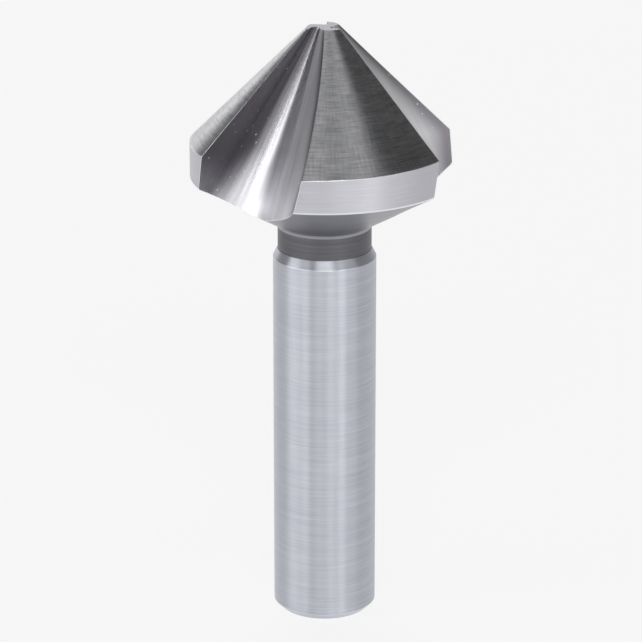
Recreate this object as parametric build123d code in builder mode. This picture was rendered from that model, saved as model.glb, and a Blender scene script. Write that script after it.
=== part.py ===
from build123d import *
import os
from math import cos, radians, sin, tan

# Three-flute 90 degree countersink bit with a parallel shank, ground from one bar of high-speed steel.
# Millimetres. The origin is the centre of the shank's end face, +Z runs along the tool's axis to the nose.

# ---------------------------------------------------------------- driving dimensions: shank and neck
OVERALL_LENGTH = 71.0
SHANK_DIAMETER = 12.0
SHANK_LENGTH = 43.7  # end face to the top of the full diameter
SHANK_END_CHAMFER = 0.8
NECK_DIAMETER = 10.9  # relieved so that the grinding wheels run out in it
NECK_LENGTH = 4.0  # top of the shank to the foot of the head
NECK_SHOULDER_LENGTH = 1.1  # axial length of the taper from the shank down to the neck
NECK_FOOT_RADIUS = 0.35
HEAD_FOOT_RADIUS = 0.6  # root radius between the neck and the back of the head

# ---------------------------------------------------------------- driving dimensions: head
HEAD_DIAMETER = 31.0
NOSE_DIAMETER = 4.2  # smallest diameter that the cutting edges reach
POINT_ANGLE = 90.0
MARGIN_WIDTH = 4.15  # axial width of the cylindrical land behind the cutting corners
MARGIN_EDGE_BREAK = 0.12

# ---------------------------------------------------------------- driving dimensions: relieved teeth
TOOTH_COUNT = 3
FIRST_CORNER_AZIMUTH = 86.3  # where the cutting corner of the first tooth stands
RELIEF_OFFSET = 0.40  # how far the axis of a tooth's land is set off from the tool's axis
RELIEF_LEAD = 10.0  # the offset points this far ahead of the cutting corner, so the heel falls away
GRINDING_ALLOWANCE = 0.6  # stock on the turned cone, taken off by the relief grinding

# ---------------------------------------------------------------- driving dimensions: flutes
# Each flute is ground along a path that climbs inward to the nose. Its section is drawn square to that
# path: x runs to the cutting side, y away from the axis.
FLUTE_LAG = 31.5  # azimuth of the path, ahead of the tooth's cutting corner
FLUTE_INCLINATION = 26.2  # between the path and the tool's axis
RIDGE_HEIGHT = 0.87  # from the centre of the nose face out to the ridge, square to the path
RAKE_LEAN = 10.3  # lean of the rake face from straight outward in the section
GULLET_DEPTH = 5.1  # below the ridge, at the back end of the path
GULLET_WIDTH = 9.2  # from the ridge across to the foot of the rake face, at the back end
GULLET_RADIUS = 5.0  # at the back end
WALL_RADIUS = 16.3  # hollow of the wall between gullet and ridge, at the back end
BACK_STATION = 26.0  # along the path from the nose face, where the sizes above hold
FRONT_STATION = 0.5  # past the nose face
TAPER_POINT = 2.16  # past the nose face, where the tapering flute would close up
HEEL_RADIUS = 15.5  # hollow of the strip between the ridge and the heel of the next tooth
HEEL_WIDTH = 7.4
HEEL_RISE = 9.5

# ---------------------------------------------------------------- worked out from the above
shank_radius = SHANK_DIAMETER / 2
neck_radius = NECK_DIAMETER / 2
head_radius = HEAD_DIAMETER / 2
nose_radius = NOSE_DIAMETER / 2
tooth_pitch = 360 / TOOTH_COUNT
cone_slope = 1 / tan(radians(POINT_ANGLE / 2))  # height lost for each mm of radius
apex_height = OVERALL_LENGTH + nose_radius * cone_slope
corner_height = apex_height - head_radius * cone_slope
margin_foot = corner_height - MARGIN_WIDTH
head_foot = SHANK_LENGTH + NECK_LENGTH
reach = HEAD_DIAMETER  # long enough for any cutter to clear the head

# ---------------------------------------------------------------- turned blank
# One revolved profile: shank, neck, back of the head, margin, and the cone left oversize for grinding.
with BuildPart() as turned_blank:
    with BuildSketch(Plane.XZ) as profile:
        with BuildLine():
            Polyline(
                (0, 0),
                (shank_radius, 0),
                (shank_radius, SHANK_LENGTH),
                (neck_radius, SHANK_LENGTH + NECK_SHOULDER_LENGTH),
                (neck_radius, head_foot),
                (head_radius, margin_foot),
                (head_radius, corner_height + GRINDING_ALLOWANCE),
                (nose_radius + GRINDING_ALLOWANCE / cone_slope, OVERALL_LENGTH),
                (0, OVERALL_LENGTH),
                close=True,
            )
        make_face()
        chamfer(profile.vertices().sort_by_distance((shank_radius, 0))[0], SHANK_END_CHAMFER)
        chamfer(profile.vertices().sort_by_distance((head_radius, margin_foot))[0], MARGIN_EDGE_BREAK)
        shoulder_foot = (neck_radius, SHANK_LENGTH + NECK_SHOULDER_LENGTH)
        fillet(profile.vertices().sort_by_distance(shoulder_foot)[0], NECK_FOOT_RADIUS)
        fillet(profile.vertices().sort_by_distance((neck_radius, head_foot))[0], HEAD_FOOT_RADIUS)
    revolve(axis=Axis.Z)

# ---------------------------------------------------------------- relief of one tooth
# The cutting corner of this tooth stands at azimuth 0. Its land is a cone about an axis set off towards
# the cutting edge, so it meets the full cone at the edge and lies below it at the heel.
land_axis = Vector(
    RELIEF_OFFSET * cos(radians(RELIEF_LEAD)), RELIEF_OFFSET * sin(radians(RELIEF_LEAD)), 0
)
land_apex = apex_height - land_axis.X * cone_slope
land_start = radians(FLUTE_LAG - tooth_pitch)
land_plane = Plane(
    origin=land_axis,
    x_dir=(cos(land_start), sin(land_start), 0),
    z_dir=(sin(land_start), -cos(land_start), 0),
)

with BuildPart() as relief_cutter:
    with BuildSketch(land_plane):
        with BuildLine():
            Polyline(
                (0, land_apex),
                (reach, land_apex - reach * cone_slope),
                (reach, apex_height + GRINDING_ALLOWANCE),
                (0, apex_height + GRINDING_ALLOWANCE),
                close=True,
            )
        make_face()
    revolve(axis=Axis(land_axis, (0, 0, 1)), revolution_arc=tooth_pitch)

# ---------------------------------------------------------------- one flute
# A loft between two sections square to the grinding path. Rake face, gullet and wall taper together
# towards the nose, while the ridge and the hollow strip beside the next tooth's heel run straight.
path_azimuth = radians(FLUTE_LAG)
path_lean = radians(FLUTE_INCLINATION)
path_direction = Vector(
    -sin(path_lean) * cos(path_azimuth), -sin(path_lean) * sin(path_azimuth), cos(path_lean)
)
across = Vector(sin(path_azimuth), -cos(path_azimuth), 0)
nose_centre = Vector(0, 0, OVERALL_LENGTH)
rake_lean = radians(RAKE_LEAN)
ridge = (0, RIDGE_HEIGHT)
heel_end = (-HEEL_WIDTH, RIDGE_HEIGHT + HEEL_RISE)

with BuildPart() as flute_cutter:
    for station in (-BACK_STATION, FRONT_STATION):
        taper = (TAPER_POINT - station) / (TAPER_POINT + BACK_STATION)
        gullet = (GULLET_WIDTH * taper, RIDGE_HEIGHT - GULLET_DEPTH * taper)
        rake_end = (gullet[0] + reach * sin(rake_lean), gullet[1] + reach * cos(rake_lean))
        section_plane = Plane(
            origin=nose_centre + path_direction * station, x_dir=across, z_dir=path_direction
        )
        with BuildSketch(section_plane) as section:
            with BuildLine():
                Line(rake_end, gullet)
                RadiusArc(gullet, ridge, WALL_RADIUS * taper)
                RadiusArc(ridge, heel_end, HEEL_RADIUS)
                Line(heel_end, (heel_end[0], rake_end[1]))
                Line((heel_end[0], rake_end[1]), rake_end)
            make_face()
            fillet(section.vertices().sort_by_distance(gullet)[0], GULLET_RADIUS * taper)
    loft(ruled=True)

# ---------------------------------------------------------------- the finished tool
with BuildPart() as countersink_bit:
    add(turned_blank.part)
    with PolarLocations(0, TOOTH_COUNT, start_angle=FIRST_CORNER_AZIMUTH):
        add(relief_cutter.part, mode=Mode.SUBTRACT)
        add(flute_cutter.part, mode=Mode.SUBTRACT)

countersink_bit.part.label = "countersink_bit"

os.makedirs("parts", exist_ok=True)
export_step(countersink_bit.part, "parts/countersink_bit.step")
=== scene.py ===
"""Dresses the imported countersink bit: one fine closed mesh of the ground tool, its finishes and a studio.

The classes hold their sizes in millimetres and degrees. Mesh points turn to metres when the mesh is made.
"""

from __future__ import annotations

import logging
import math
from dataclasses import dataclass, field
from enum import Enum
from typing import Callable

import bpy
import numpy as np
from bpy.types import Material, Node, NodeSocket, NodeTree
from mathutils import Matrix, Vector
from mathutils.geometry import delaunay_2d_cdt


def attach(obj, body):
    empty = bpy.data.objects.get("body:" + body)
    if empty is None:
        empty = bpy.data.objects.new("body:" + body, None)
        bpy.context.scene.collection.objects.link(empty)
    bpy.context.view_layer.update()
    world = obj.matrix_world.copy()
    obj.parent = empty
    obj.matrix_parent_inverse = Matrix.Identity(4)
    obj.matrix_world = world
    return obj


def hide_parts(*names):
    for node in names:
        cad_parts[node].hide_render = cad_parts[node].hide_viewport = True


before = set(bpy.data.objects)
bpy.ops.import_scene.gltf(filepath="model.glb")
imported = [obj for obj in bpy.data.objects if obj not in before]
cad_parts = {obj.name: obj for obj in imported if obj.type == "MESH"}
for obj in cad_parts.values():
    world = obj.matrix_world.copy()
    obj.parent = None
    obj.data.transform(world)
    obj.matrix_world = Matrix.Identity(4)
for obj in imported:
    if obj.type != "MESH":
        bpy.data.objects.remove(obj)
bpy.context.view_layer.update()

MM = 0.001
NODE = "countersink_bit"
SKIN = 0.07  # width of the row beside a sharp edge over which its shading turns
RUBBED_STEEL_AND_HIGHLIGHT = "#F0F0F3"  # bare bright steel where an edge or a burr has been rubbed, and the painted highlight it lays along sharp edges and as painted glints in the flutes
WHITE = "#FFFFFF"
SPECK_SIZE = 0.45  # spacing of the noise that places the specks, painted glints of burrs, in the flutes
SPECK_START = 0.73  # noise level above which there is a speck
PAINTED_LIGHT_AT_NOSE = 0.4  # how much painted light the gullet gets by the ridge, at the nose; less leaves painted shade there
PAINTED_LIGHT_AT_BACK = 1.5  # and at the back, where the painted highlight is brightest
PAINTED_LIGHT_ON_RAKE = 0.35  # what there is of that painted light on the rake face, at the very back
DEEP_START = 0.6  # share of the flute's depth from which it shows there
SPECK_FADE = 0.02  # how much further the noise climbs before a speck is at its brightest
LINE_SHARE = 0.9  # weight of the lines in a finish's pattern
BAND_SHARE = 0.4  # of the broader bands among them
MOTTLE_SHARE = 0.3  # of the faint clouds
CROSS_SHARE = 0.5  # and of the lines that run the other way
BAND_WIDTH = 4  # a band's width in line pitches
BAND_LENGTH = 3  # and its length in line lengths
CROSS_LENGTH = 8  # a cross line's length in cross pitches
BAND_RANGE = (0.25, 0.75)  # the noise's values over which the roughness swings
ROUGHNESS_SWING = 0.04  # share of itself that it swings by, either way
SWAY_RANGE = (0.3, 0.7)  # the noise's values over which a line leans from one way to the other
ROUGH_RIM_RANGE = (0.5, 1.3)  # the painted-light mask's values between which the gullet turns coarse
SHARP_ANGLE = 4.0  # an edge is sharp if its mean normal stands further off than this, in degrees
ROW_GROWTH = 1.15  # rows stand closer at the nose; their shares are raised to this power
GRAIN_RADIUS = 0.7  # share of the head's radius at which the grain on its cones is at full size
SKIN_SHARE = 0.3  # widest share of an even step that a skin may take up
FLUTE_RUN = 20.0  # about the length of a flute or land, which sets how narrow its end rows are
STRIP_RUN = 10.0  # and about the width of the strip at the back
BISECTIONS = 60
TINY = 1e-9  # a length below this, in millimetres, counts as nothing

Array = np.ndarray
log = logging.getLogger("countersink_bit")


class Finish(Enum):
    """The steel's finishes, in the order of the mesh's material slots."""

    SHANK = 0
    NECK = 1
    BACK = 2
    MARGIN = 3
    LAND = 4
    FLUTE = 5
    STRIP = 6
    NOSE = 7


# ---------------------------------------------------------------- small helpers


def unit(vectors: Array) -> Array:
    """Vectors of length one along the last axis."""
    return vectors / np.linalg.norm(vectors, axis=-1, keepdims=True)


def pair(first: Array | float, second: Array | float) -> Array:
    """Two coordinates, stacked along a new last axis."""
    return np.stack(np.broadcast_arrays(first, second), -1)


def radius_of(points: Array) -> Array:
    """Distance of points from the axis, or of flat ones from their origin."""
    return np.hypot(points[..., 0], points[..., 1])


def angle_of(points: Array) -> Array:
    """Angle at which points stand round the axis, in radians."""
    return np.arctan2(points[..., 1], points[..., 0])


def arc_points(centre: Array, radius: float, ends: tuple[Array, Array], share: Array) -> Array:
    """Flat points on the shorter arc from one end to the other, at shares of the way."""
    first, last = (float(angle_of(end - centre)) for end in ends)
    angle = first + ((last - first + math.pi) % math.tau - math.pi) * share
    return centre + radius * pair(np.cos(angle), np.sin(angle))


def polar(radius: Array | float, angle: Array | float, height: Array | float) -> Array:
    """Points from a radius, an angle in radians and a height, stacked along a new last axis."""
    radius, angle, height = np.broadcast_arrays(radius, angle, height)
    return np.stack([radius * np.cos(angle), radius * np.sin(angle), height], -1)


def turned(points: Array, angle: float) -> Array:
    """Points turned about the tool's axis by an angle in radians."""
    c, s = math.cos(angle), math.sin(angle)
    x, y, z = points[..., 0], points[..., 1], points[..., 2]
    return np.stack([c * x - s * y, s * x + c * y, z], -1)


def bisect(function: Callable[[Array], Array], low: Array, high: Array) -> Array:
    """Where a function changes sign, for many values at once.

    Args:
        function: takes and returns an array; its sign at low and at high differs.
        low: one end of each bracket.
        high: the other end of each bracket.

    Returns:
        The roots, in the shape of low.
    """
    low, high = (np.array(a, float) for a in np.broadcast_arrays(low, high))
    low_sign = np.sign(function(low))
    for _ in range(BISECTIONS):
        middle = (low + high) / 2
        same = np.sign(function(middle)) == low_sign
        low = np.where(same, middle, low)
        high = np.where(same, high, middle)
    return (low + high) / 2


def meeting(points: Callable, surface: Callable, like: Array, low: float, high: float) -> Array:
    """Points where lines round the tool meet a surface.

    Args:
        points: the lines' points at given angles.
        surface: a function of points that is zero on the surface.
        like: an array in the shape of the lines.
        low: angle at one end of the search, in degrees.
        high: the same at the other end.

    Returns:
        The points.
    """
    ends = (np.full_like(like, math.radians(end)) for end in (low, high))
    return points(bisect(lambda angle: surface(points(angle)), *ends))


def shares(count: int, length: Array | float, first: bool = True, last: bool = True) -> Array:
    """Shares from 0 to 1 of a row of points, with a step of one skin at its sharp ends.

    Args:
        count: number of steps.
        length: length of the row in millimetres, one for each row.
        first: whether the start is a sharp edge.
        last: whether the end is a sharp edge.

    Returns:
        An array with count + 1 shares along its last axis.
    """
    skin = np.minimum(SKIN / np.asarray(length, float), SKIN_SHARE / count)[..., None]
    inner = count - first - last
    start, end = skin * first, 1 - skin * last
    middle = start + (end - start) * np.linspace(0, 1, inner + 1)
    parts = [middle]
    if first:
        parts.insert(0, np.zeros_like(start))
    if last:
        parts.append(np.ones_like(end))
    return np.concatenate(parts, -1)


def blend_rows(west: Array, east: Array, south: Array, north: Array, across: Array, along: Array) -> Array:
    """A grid inside four sides, in a surface's own two coordinates.

    Args:
        west: the first point of each row.
        east: the last point of each row.
        south: the first row.
        north: the last row.
        across: for each row the shares at which its points stand.
        along: the share at which each row stands.

    Returns:
        An array of rows by points by two.
    """
    grid = west[:, None] + (east - west)[:, None] * across[..., None]
    south_gap = south - grid[0]
    north_gap = north - grid[-1]
    rows = along[:, None, None]
    return grid + (1 - rows) * south_gap + rows * north_gap


def inside(points: Array, loop: Array) -> Array:
    """Whether each flat point lies inside a closed loop of flat points."""
    following = np.roll(loop, -1, 0)
    x, y = points[:, None, 0], points[:, None, 1]
    crosses = (loop[:, 1] > y) != (following[:, 1] > y)
    with np.errstate(divide="ignore", invalid="ignore"):
        at = loop[:, 0] + (y - loop[:, 1]) * (following[:, 0] - loop[:, 0]) / (following[:, 1] - loop[:, 1])
    return (crosses & (x < at)).sum(1) % 2 == 1


# ---------------------------------------------------------------- sizes that the sub-assemblies share


@dataclass(frozen=True)
class ToolForm:
    """Sizes of the turned blank and of the relieved teeth, as in the part's source."""

    length: float = 71.0
    head_radius: float = 15.5
    nose_radius: float = 2.1
    margin_width: float = 4.15
    edge_break: float = 0.12
    neck_radius: float = 5.45
    head_foot: float = 47.7
    head_foot_radius: float = 0.6
    teeth: int = 3
    first_corner: float = 86.3
    relief_offset: float = 0.40
    relief_lead: float = 10.0

    @property
    def pitch(self) -> float:
        """Angle from one tooth to the next, in radians."""
        return math.tau / self.teeth

    @property
    def mean_radius(self) -> float:
        """Radius at which the head's cones have their grain at full size."""
        return self.head_radius * GRAIN_RADIUS

    @property
    def margin_foot(self) -> float:
        """Height of the margin's lower edge; the cone loses a millimetre of height for each of radius."""
        return self.length + self.nose_radius - self.head_radius - self.margin_width

    @property
    def back_slope(self) -> float:
        """Height that the back of the head gains for each millimetre of radius."""
        return (self.margin_foot - self.head_foot) / (self.head_radius - self.neck_radius)

    def corner_azimuth(self, tooth: int) -> float:
        """Where the cutting corner of a tooth stands, in radians."""
        return math.radians(self.first_corner) + tooth * self.pitch

    def back_height(self, radius: Array | float) -> Array | float:
        """Height of the back of the head at a radius."""
        return self.head_foot + (radius - self.neck_radius) * self.back_slope


# ---------------------------------------------------------------- surfaces


class Surface:
    """A ground or turned surface that knows its own coordinates, its normals and its grinding lines."""

    turn_length: float = 0.0  # length of a whole turn in the grain's second coordinate, or 0

    def locate(self, points: Array) -> Array:
        """The surface's two coordinates of points on it."""
        raise NotImplementedError

    def point(self, at: Array) -> Array:
        """Points from the surface's two coordinates."""
        raise NotImplementedError

    def normal(self, points: Array) -> Array:
        """Normals out of the steel at points on the surface."""
        raise NotImplementedError

    def grain(self, points: Array) -> Array:
        """Millimetres across and along the grinding lines."""
        raise NotImplementedError

    def rim(self, points: Array) -> Array:
        """The painted-light mask: 0 takes the painted shade colour and 1 the full colour; high values also
        roughen.
        """
        return np.ones_like(points[..., 0])


@dataclass
class Land(Surface):
    """The relieved cone behind one cutting edge, about an axis set off from the tool's own."""

    form: ToolForm
    tooth: int

    def __post_init__(self) -> None:
        """Works out the land's own axis and apex."""
        lead = math.radians(self.form.relief_lead)
        offset = self.form.relief_offset * np.array([math.cos(lead), math.sin(lead), 0])
        self.turn = self.form.corner_azimuth(self.tooth)
        self.centre = turned(offset, self.turn)
        self.apex = self.form.length + self.form.nose_radius - offset[0]

    def locate(self, points: Array) -> Array:
        """Angle from the tooth's corner about the land's axis, and distance from that axis."""
        flat = turned(points - self.centre, -self.turn)
        return pair(angle_of(flat), radius_of(flat))

    def point(self, at: Array) -> Array:
        """Points from angle and distance about the land's axis."""
        angle, distance = at[..., 0], at[..., 1]
        return turned(polar(distance, angle, self.apex - distance), self.turn) + self.centre * [1, 1, 0]

    def at_height(self, height: Array, surface: Callable, low: float, high: float) -> Array:
        """Points of the land at given heights where it meets another surface.

        Args:
            height: the heights.
            surface: a function of points that is zero on the other surface.
            low: angle from the tooth's corner at one end of the search, in degrees.
            high: the same at the other end.

        Returns:
            The points.
        """
        distance = self.apex - height
        return meeting(lambda angle: self.point(pair(angle, distance)), surface, height, low, high)

    def normal(self, points: Array) -> Array:
        """Normals of the offset cone."""
        out = points - self.centre
        return unit(np.stack([out[..., 0], out[..., 1], radius_of(out)], -1))

    def grain(self, points: Array) -> Array:
        """The land is ground round the tool: lines follow the angle."""
        at = self.locate(points)
        return pair(at[..., 1] * math.sqrt(2), at[..., 0] * self.form.mean_radius)


@dataclass
class Revolved(Surface):
    """One straight or rounded stretch of the turned profile."""

    profile_normal: tuple[float, float] = (1.0, 0.0)
    arc_centre: tuple[float, float] | None = None
    hollow: bool = False
    mean_radius: float = 6.0

    def __post_init__(self) -> None:
        """Sets the length of a whole turn."""
        self.turn_length = math.tau * self.mean_radius

    def locate(self, points: Array) -> Array:
        """Angle about the tool's axis, and height."""
        return pair(angle_of(points), points[..., 2])

    def normal(self, points: Array) -> Array:
        """Normals of the turned stretch."""
        radius = radius_of(points)
        if self.arc_centre is None:
            out, up = (np.full_like(radius, part) for part in self.profile_normal)
        else:
            sign = -1 if self.hollow else 1
            out, up = sign * (radius - self.arc_centre[0]), sign * (points[..., 2] - self.arc_centre[1])
        safe = np.maximum(radius, TINY)
        return unit(np.stack([points[..., 0] / safe * out, points[..., 1] / safe * out, up], -1))

    def grain(self, points: Array) -> Array:
        """Turned and cylindrical-ground lines run round the tool."""
        return pair(points[..., 2] - radius_of(points), angle_of(points) * self.mean_radius)


@dataclass
class Margin(Revolved):
    """The unrelieved cylinder behind a cutting corner."""

    form: ToolForm = field(default_factory=ToolForm)
    tooth: int = 0

    def __post_init__(self) -> None:
        """Takes the head's radius, and angles from the tooth's corner."""
        self.mean_radius = self.form.head_radius
        self.turn = self.form.corner_azimuth(self.tooth)
        super().__post_init__()

    def locate(self, points: Array) -> Array:
        """Angle from the tooth's corner, and height."""
        return super().locate(turned(points, -self.turn))

    def point(self, at: Array) -> Array:
        """Points from angle and height."""
        return turned(polar(self.form.head_radius, at[..., 0], at[..., 1]), self.turn)

    def at_height(self, height: Array, surface: Callable, low: float, high: float) -> Array:
        """Points of the cylinder at given heights where it meets another surface; as Land.at_height."""
        return meeting(lambda angle: self.point(pair(angle, height)), surface, height, low, high)


@dataclass
class NoseFace(Surface):
    """The flat across the nose."""

    def normal(self, points: Array) -> Array:
        """Straight up."""
        return np.broadcast_to([0.0, 0.0, 1.0], points.shape)

    def grain(self, points: Array) -> Array:
        """Faced straight across."""
        return points[..., :2].copy()


@dataclass
class FlutePath:
    """The straight path of one flute's grinding wheel and the section square to it.

    The section's first coordinate runs to the cutting side, its second away from the tool's axis, and its
    third is the station along the path, 0 at the nose.
    """

    form: ToolForm
    tooth: int
    lag: float = 31.5
    inclination: float = 26.2
    ridge_height: float = 0.87
    rake_lean: float = 10.3
    gullet_depth: float = 5.1
    gullet_width: float = 9.2
    gullet_radius: float = 5.0
    wall_radius: float = 16.3
    back_station: float = 26.0
    taper_point: float = 2.16
    heel_radius: float = 15.5
    heel_width: float = 7.4
    heel_rise: float = 9.5
    exit_search: tuple[float, float] = (-0.5, -45.0)  # stations between which every line leaves the head

    def __post_init__(self) -> None:
        """Works out the path's directions and the section's arcs at the back station."""
        azimuth = self.form.corner_azimuth(self.tooth) + math.radians(self.lag)
        lean = math.radians(self.inclination)
        self.sin_lean, self.cos_lean = math.sin(lean), math.cos(lean)
        along = [-self.sin_lean * math.cos(azimuth), -self.sin_lean * math.sin(azimuth), self.cos_lean]
        across = [math.sin(azimuth), -math.cos(azimuth), 0.0]
        outward = [self.cos_lean * math.cos(azimuth), self.cos_lean * math.sin(azimuth), self.sin_lean]
        self.axes = np.array([across, outward, along])
        self.origin = np.array([0, 0, self.form.length])
        self.reach = self.taper_point + self.back_station
        rake = math.radians(self.rake_lean)
        self.rake_line = np.array([math.sin(rake), math.cos(rake)])
        self.rake_normal = np.array([-math.cos(rake), math.sin(rake)])
        self.gullet = np.array([self.gullet_width, -self.gullet_depth])
        self.wall_centre = self.arc_centre(self.gullet, np.zeros(2), self.wall_radius)
        heel_end = np.array([-self.heel_width, self.heel_rise])
        self.strip_centre = self.arc_centre(np.zeros(2), heel_end, self.heel_radius)
        self.strip_centre = self.strip_centre + [0, self.ridge_height]
        self.fillet_centre, self.rake_foot = self.fillet()
        toward = unit(self.fillet_centre - self.wall_centre)
        self.wall_foot = self.wall_centre + toward * self.wall_radius

    @staticmethod
    def arc_centre(start: Array, end: Array, radius: float) -> Array:
        """Centre of the arc from start to end, on the open side of the flute."""
        chord = end - start
        half = np.linalg.norm(chord) / 2
        side = unit(np.array([chord[1], -chord[0]]))
        return (start + end) / 2 + side * math.sqrt(radius**2 - half**2)

    def fillet(self) -> tuple[Array, Array]:
        """Centre of the gullet's fillet and its foot on the rake line, at the back station."""
        base = self.gullet + self.gullet_radius * self.rake_normal - self.wall_centre
        half = base @ self.rake_line
        rest = base @ base - (self.wall_radius - self.gullet_radius) ** 2
        foot = self.gullet - (half + math.sqrt(half**2 - rest)) * self.rake_line
        return foot + self.gullet_radius * self.rake_normal, foot

    def section(self, points: Array) -> Array:
        """Path coordinates of points."""
        return (points - self.origin) @ self.axes.T

    def place(self, section: Array) -> Array:
        """Points from path coordinates."""
        return self.origin + section @ self.axes

    def taper(self, station: Array) -> Array:
        """Size of the tapering part of the section at a station, 1 at the back."""
        return (self.taper_point - station) / self.reach

    def on_ray(self, profile: Array, station: Array) -> Array:
        """Points of the tapering flute.

        Args:
            profile: section coordinates from the ridge, at the back station.
            station: where along the path.

        Returns:
            The points.
        """
        taper = self.taper(station)
        return self.place(
            np.stack([profile[..., 0] * taper, self.ridge_height + profile[..., 1] * taper, station], -1)
        )

    def nose_station(self, profile: Array) -> Array:
        """Station at which a ray of the tapering flute passes the nose face."""
        rise = profile[..., 1] * self.sin_lean / self.reach
        return -(self.ridge_height * self.sin_lean + rise * self.taper_point) / (self.cos_lean - rise)

    def back_station_of(self, at: Callable[[Array], Array], like: Array) -> Array:
        """Stations at which lines along the flute leave through the back of the head.

        Args:
            at: gives the lines' points at stations.
            like: an array in the shape of the lines.

        Returns:
            The stations.
        """

        def above_back(station: Array) -> Array:
            """Height over the back of the head."""
            points = at(station)
            return points[..., 2] - self.form.back_height(radius_of(points))

        return bisect(above_back, *(np.full_like(like, station) for station in self.exit_search))

    def rake_gap(self, points: Array) -> Array:
        """Distance of points from the rake face, positive in the open flute."""
        section = self.section(points)
        taper = self.taper(section[..., 2])
        from_gullet = section[..., :2] - [0, self.ridge_height] - self.gullet * taper[..., None]
        return from_gullet @ self.rake_normal

    def strip_gap(self, points: Array) -> Array:
        """Distance of points from the hollow strip, positive in the open flute."""
        flat = self.section(points)[..., :2] - self.strip_centre
        return self.heel_radius - radius_of(flat)

    def ray_profile(self, points: Array) -> Array:
        """Section coordinates, from the ridge at the back station, of the rays through points."""
        section = self.section(points)
        return (section[..., :2] - [0, self.ridge_height]) / self.taper(section[..., 2])[..., None]

    def cone_normal(self, section_normal: Array, profile: Array) -> Array:
        """Normals of the tapering flute from its section's normals and the rays' profile coordinates."""
        along = (section_normal * profile).sum(-1) / self.reach
        return unit(np.concatenate([section_normal, along[..., None]], -1) @ self.axes)


@dataclass
class Rake(Surface):
    """The flat rake face in front of a cutting edge."""

    path: FlutePath

    def locate(self, points: Array) -> Array:
        """Distance up the rake line from the gullet's corner, and station."""
        path = self.path
        section = path.section(points)
        corner = path.gullet * path.taper(section[..., 2])[..., None] + [0, path.ridge_height]
        return pair((section[..., :2] - corner) @ path.rake_line, section[..., 2])

    def point(self, at: Array) -> Array:
        """Points from the distance up the rake line and the station."""
        path = self.path
        corner = path.gullet * path.taper(at[..., 1])[..., None] + [0, path.ridge_height]
        flat = corner + at[..., :1] * path.rake_line
        return path.place(np.concatenate([flat, at[..., 1:]], -1))

    def normal(self, points: Array) -> Array:
        """The face's one normal."""
        flat = np.broadcast_to(self.path.rake_normal, points[..., :2].shape)
        return self.path.cone_normal(flat, np.broadcast_to(self.path.gullet, flat.shape))

    def grain(self, points: Array) -> Array:
        """Ground lengthwise."""
        return self.locate(points)

    def rim(self, points: Array) -> Array:
        """Painted shade over the whole rake face, lifted a little only near the back."""
        deep = self.path.taper(self.path.section(points)[..., 2])
        return PAINTED_LIGHT_ON_RAKE * np.clip((deep - DEEP_START) / (1 - DEEP_START), 0, 1)


@dataclass
class Gully(Surface):
    """The gullet's fillet or the hollow wall, which taper to the nose."""

    path: FlutePath
    centre: Array
    radius: float

    def normal(self, points: Array) -> Array:
        """Normals toward the arc's centre."""
        profile = self.path.ray_profile(points)
        return self.path.cone_normal(unit(self.centre - profile), profile)

    def grain(self, points: Array) -> Array:
        """Ground lengthwise: millimetres round the arc at half size, and the station."""
        profile = self.path.ray_profile(points) - self.centre
        angle = np.arctan2(profile[..., 0], -profile[..., 1])
        return pair(angle * self.radius / 2, self.path.section(points)[..., 2])

    def rim(self, points: Array) -> Array:
        """Painted light that grows from the painted shade at the rake face's foot to the ridge, and towards
        the back.
        """
        across = 1 - self.path.ray_profile(points)[..., 0] / self.path.rake_foot[0]
        deep = self.path.taper(self.path.section(points)[..., 2])
        gain = PAINTED_LIGHT_AT_NOSE + (PAINTED_LIGHT_AT_BACK - PAINTED_LIGHT_AT_NOSE) * np.clip(deep, 0, 1)
        return Rake(self.path).rim(points) + np.clip(across, 0, 1) * gain


@dataclass
class Strip(Surface):
    """The hollow strip between the ridge and the heel of the next tooth."""

    path: FlutePath

    def locate(self, points: Array) -> Array:
        """Angle round the strip's hollow, and station."""
        section = self.path.section(points)
        flat = section[..., :2] - self.path.strip_centre
        return pair(np.arctan2(flat[..., 0], -flat[..., 1]), section[..., 2])

    def point(self, at: Array) -> Array:
        """Points from the angle and the station."""
        angle, station = at[..., 0], at[..., 1]
        radius = self.path.heel_radius
        flat = pair(np.sin(angle), -np.cos(angle)) * radius + self.path.strip_centre
        return self.path.place(np.concatenate([flat, station[..., None]], -1))

    def normal(self, points: Array) -> Array:
        """Normals toward the hollow's axis."""
        flat = self.path.strip_centre - self.path.section(points)[..., :2]
        return unit(np.concatenate([flat, np.zeros_like(flat[..., :1])], -1) @ self.path.axes)

    def grain(self, points: Array) -> Array:
        """Ground lengthwise."""
        return self.locate(points) * [self.path.heel_radius, 1.0]

    def rim(self, points: Array) -> Array:
        """Painted light that fades from the ridge to painted shade at the heel."""
        form, path = self.path.form, self.path
        flat = np.array([0, path.ridge_height]) - path.strip_centre
        from_ridge = np.abs(self.locate(points)[..., 0] - math.atan2(flat[0], -flat[1])) * path.heel_radius
        land = Land(form, path.tooth + 1)
        under_land = land.apex - land.locate(points)[..., 1] - points[..., 2]
        under_margin = form.head_radius - radius_of(points)
        to_heel = np.clip(np.minimum(under_land, under_margin), 0, None)
        return to_heel / (to_heel + from_ridge / 2 + TINY)


# ---------------------------------------------------------------- the closed mesh


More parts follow.
